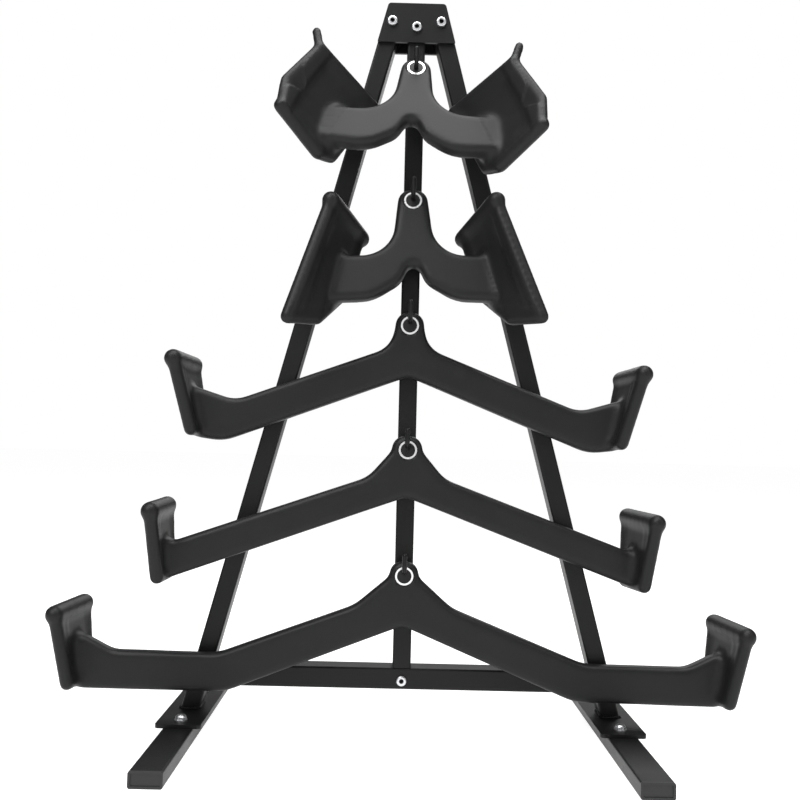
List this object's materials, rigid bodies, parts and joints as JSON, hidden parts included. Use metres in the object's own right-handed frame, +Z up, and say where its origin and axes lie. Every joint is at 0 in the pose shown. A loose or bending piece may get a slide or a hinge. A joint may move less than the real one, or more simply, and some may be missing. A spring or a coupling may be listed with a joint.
{
  "type": "pull-down grip storage rack",
  "caption": "Free-standing black A-frame rack of steel tube whose centre post carries bent-rod hooks, each holding a rubber-coated pull-down grip for a cable machine.",
  "frame": {"origin": "on the floor, midway between the two feet, in the middle plane of the legs", "axes": "+Z up; the hooks point towards -Y, which is the front; +X to the right seen from the front"},
  "size_m": [0.9328, 0.556, 1.0155],
  "materials": {
    "frame_powder_coat": "fine-texture satin black powder coat on steel tube, plate and rod",
    "grip_rubber": "satin, fine-grained moulded coating",
    "core_steel": "plain hot-rolled plate, hidden in the coating",
    "eye_steel": "turned and polished",
    "cap_plastic": "moulded, matt",
    "fastener_steel": "bright zinc or stainless"
  },
  "bodies": {
    "frame": {"centre_post": "frame_powder_coat", "crossbar": "frame_powder_coat", "crossbar_bolt": "fastener_steel", "crossbar_nut": "fastener_steel", "crossbar_washer": "fastener_steel", "foot_bolts": "fastener_steel", "foot_washers": "fastener_steel", "foot_weld_nuts": "fastener_steel", "hook_1": "frame_powder_coat", "hook_2": "frame_powder_coat", "hook_3": "frame_powder_coat", "hook_4": "frame_powder_coat", "hook_5": "frame_powder_coat", "left_foot": "frame_powder_coat", "left_foot_cap_front": "cap_plastic", "left_foot_cap_rear": "cap_plastic", "left_foot_plate": "frame_powder_coat", "left_leg": "frame_powder_coat", "post_tang": "frame_powder_coat", "right_foot": "frame_powder_coat", "right_foot_cap_front": "cap_plastic", "right_foot_cap_rear": "cap_plastic", "right_foot_plate": "frame_powder_coat", "right_leg": "frame_powder_coat", "top_bolts": "fastener_steel", "top_nuts": "fastener_steel", "top_plate_front": "frame_powder_coat", "top_plate_rear": "frame_powder_coat", "top_washers": "fastener_steel"},
    "wide_bar": {"wide_bar_coat": "grip_rubber", "wide_bar_core": "core_steel", "wide_bar_eye": "eye_steel"},
    "medium_straight_bar": {"medium_straight_bar_coat": "grip_rubber", "medium_straight_bar_core": "core_steel", "medium_straight_bar_eye": "eye_steel"},
    "medium_angled_bar": {"medium_angled_bar_coat": "grip_rubber", "medium_angled_bar_core": "core_steel", "medium_angled_bar_eye": "eye_steel"},
    "close_tall_grip": {"close_tall_grip_coat": "grip_rubber", "close_tall_grip_core": "core_steel", "close_tall_grip_eye": "eye_steel"},
    "close_winged_grip": {"close_winged_grip_coat": "grip_rubber", "close_winged_grip_core": "core_steel", "close_winged_grip_eye": "eye_steel"}
  },
  "joints": [
    {"name": "wide_bar_swing", "type": "hinge", "parent": "frame", "child": "wide_bar", "pos_m": [0, -0.04, 0.21853], "axis": [0, -0.9781, 0.2079], "range_deg": [-3, 3.5]},
    {"name": "medium_straight_bar_swing", "type": "hinge", "parent": "frame", "child": "medium_straight_bar", "pos_m": [0, -0.052, 0.38894], "axis": [0, -0.9781, 0.2079], "range_deg": [-3.5, 3.5]},
    {"name": "medium_angled_bar_swing", "type": "hinge", "parent": "frame", "child": "medium_angled_bar", "pos_m": [0, -0.035, 0.55929], "axis": [0, -0.9781, 0.2079], "range_deg": [-4, 4.5]},
    {"name": "close_tall_grip_swing", "type": "hinge", "parent": "frame", "child": "close_tall_grip", "pos_m": [0, -0.04063, 0.72834], "axis": [0, -0.9781, 0.2079], "range_deg": [-4, 2.5]},
    {"name": "close_winged_grip_swing", "type": "hinge", "parent": "frame", "child": "close_winged_grip", "pos_m": [0, -0.04557, 0.90843], "axis": [0, -0.9781, 0.2079], "range_deg": [-2, 7]}
  ]
}
